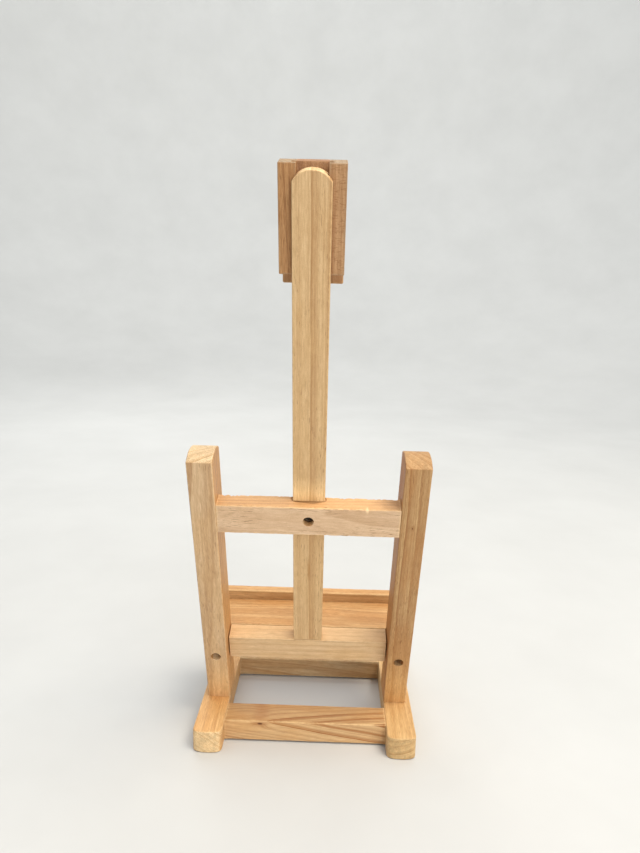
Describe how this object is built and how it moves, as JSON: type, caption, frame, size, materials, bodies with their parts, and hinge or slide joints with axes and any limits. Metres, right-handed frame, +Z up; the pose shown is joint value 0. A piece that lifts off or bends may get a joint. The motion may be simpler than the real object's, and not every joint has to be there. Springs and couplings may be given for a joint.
{
  "type": "table easel",
  "caption": "Small H-frame wooden table easel that leans back, with a picture ledge and a clamp block that slides on the mast.",
  "frame": {"origin": "centre of the easel's box in plan, at the level of the surface the feet stand on", "axes": "+Z up; the picture side faces -Y and the frame leans back towards +Y; +X is to the right as seen from the picture side"},
  "size_m": [0.154, 0.1936, 0.3769],
  "materials": {
    "foot_wood": "sanded bare pine, satin",
    "rail_wood": "sanded bare pine, satin",
    "upright_wood": "sanded bare pine, satin",
    "crossbar_wood": "sanded bare pine, satin",
    "mast_wood": "sanded bare pine, satin",
    "ledge_wood": "sanded bare pine, satin",
    "cheek_wood": "sanded hardwood, satin",
    "spacer_wood": "sanded reddish hardwood, satin",
    "clamp_lip_wood": "sanded hardwood, satin",
    "dowel_wood": "bare beech dowel",
    "screw_steel": "dull zinc-plated steel",
    "brass": "turned brass, satin"
  },
  "bodies": {
    "easel_frame": {"upright_left": "upright_wood", "ledge_screw_left": "screw_steel", "upper_dowel_left": "dowel_wood", "lower_dowel_left": "dowel_wood", "upright_right": "upright_wood", "ledge_screw_right": "screw_steel", "upper_dowel_right": "dowel_wood", "lower_dowel_right": "dowel_wood", "upper_crossbar": "crossbar_wood", "lower_crossbar": "crossbar_wood", "mast": "mast_wood", "mast_screw": "screw_steel", "mast_dowel": "dowel_wood", "ledge_board": "ledge_wood", "ledge_lip": "ledge_wood", "foot_left": "foot_wood", "foot_screw_left": "screw_steel", "upright_dowel_left": "dowel_wood", "foot_right": "foot_wood", "foot_screw_right": "screw_steel", "upright_dowel_right": "dowel_wood", "rear_base_rail": "rail_wood", "rear_rail_dowel_left": "dowel_wood", "rear_rail_dowel_right": "dowel_wood", "front_base_rail": "rail_wood", "front_rail_dowel_left": "dowel_wood", "front_rail_dowel_right": "dowel_wood"},
    "clamp": {"clamp_cheek_left": "cheek_wood", "clamp_cheek_right": "cheek_wood", "clamp_spacer": "spacer_wood", "clamp_lip": "clamp_lip_wood", "clamp_insert": "brass"},
    "thumbscrew": {"clamp_thumbscrew": "brass"}
  },
  "joints": [
    {"name": "clamp_slide", "type": "slide", "parent": "easel_frame", "child": "clamp", "axis": [0, 0.309, 0.9511], "range_m": [-0.14, 0.02]},
    {"name": "thumbscrew_turn", "type": "hinge", "parent": "clamp", "child": "thumbscrew", "pos_m": [0, 0.06412, 0.34007], "axis": [0, -0.9511, 0.309], "range_deg": [0, 540]}
  ]
}
